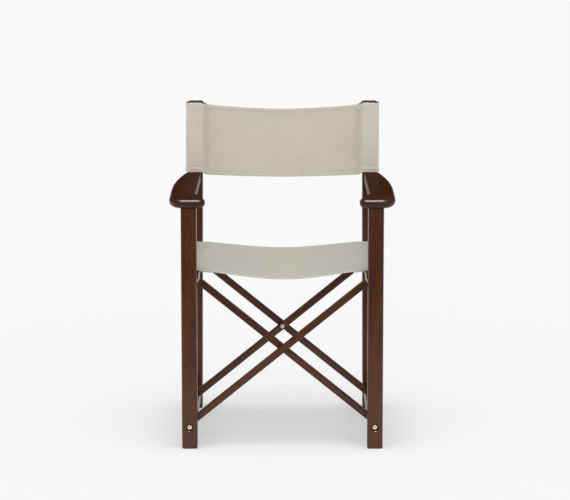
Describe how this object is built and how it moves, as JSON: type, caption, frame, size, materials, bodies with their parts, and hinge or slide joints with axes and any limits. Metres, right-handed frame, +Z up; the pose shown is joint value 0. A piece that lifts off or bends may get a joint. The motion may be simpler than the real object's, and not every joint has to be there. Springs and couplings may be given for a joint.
{
  "type": "folding chair",
  "caption": "Folding director's chair with square legs, flat armrests, crossing bars front and rear, and a canvas seat and back on sleeves.",
  "frame": {"origin": "centre of the chair's bounding box, on the floor", "axes": "+Z up, +Y to the back of the chair, +X to its right-hand side seen from the front"},
  "size_m": [0.596, 0.5106, 0.87],
  "materials": {
    "wood": "dark walnut stain under gloss lacquer",
    "back_canvas": "heavy plain-woven canvas",
    "seat_canvas": "heavy plain-woven canvas",
    "brass": "polished",
    "steel": "zinc plated",
    "nylon": "natural nylon"
  },
  "bodies": {
    "left_side": {"left_front_leg": "wood", "left_rear_post": "wood", "left_armrest": "wood", "left_arm_dowel": "wood", "left_arm_bolt": "brass", "left_front_pivot_bolt": "brass", "left_rear_pivot_bolt": "brass", "left_front_pivot_washer": "nylon", "left_rear_pivot_washer": "nylon", "left_back_sleeve": "back_canvas", "back_panel": "back_canvas"},
    "rising_frame": {"front_rising_bar": "wood", "rear_rising_bar": "wood", "left_lower_rail": "wood", "right_seat_rail": "wood", "front_rising_rail_screw": "steel", "rear_rising_rail_screw": "steel", "left_front_pivot_insert": "brass", "left_rear_pivot_insert": "brass", "front_crossing_insert": "brass", "front_crossing_bolt": "brass", "front_crossing_washer": "nylon", "right_seat_sleeve": "seat_canvas", "seat_panel": "seat_canvas"},
    "falling_frame": {"front_falling_bar": "wood", "rear_falling_bar": "wood", "right_lower_rail": "wood", "left_seat_rail": "wood", "front_falling_rail_screw": "steel", "rear_falling_rail_screw": "steel", "right_front_pivot_insert": "brass", "right_rear_pivot_insert": "brass", "rear_crossing_insert": "brass", "rear_crossing_bolt": "brass", "rear_crossing_washer": "nylon", "left_seat_sleeve": "seat_canvas"},
    "right_side": {"right_front_leg": "wood", "right_rear_post": "wood", "right_armrest": "wood", "right_arm_dowel": "wood", "right_arm_bolt": "brass", "right_front_pivot_bolt": "brass", "right_rear_pivot_bolt": "brass", "right_front_pivot_washer": "nylon", "right_rear_pivot_washer": "nylon", "right_back_sleeve": "back_canvas"}
  },
  "joints": [
    {"name": "fold", "type": "hinge", "parent": "left_side", "child": "rising_frame", "pos_m": [-0.246, 0, 0.058], "axis": [0, -1, 0], "range_deg": [0, 24], "deforming": ["back_panel"]},
    {"name": "crossing", "type": "hinge", "parent": "rising_frame", "child": "falling_frame", "pos_m": [0, 0, 0.259], "axis": [0, -1, 0], "range_deg": [-48, 0], "deforming": ["seat_panel"]},
    {"name": "right_pivot", "type": "hinge", "parent": "falling_frame", "child": "right_side", "pos_m": [0.246, 0, 0.058], "axis": [0, -1, 0], "range_deg": [0, 24]}
  ],
  "couplings": [
    {"joint": "crossing", "follows": "fold", "ratio": -2},
    {"joint": "right_pivot", "follows": "fold", "ratio": 1}
  ]
}
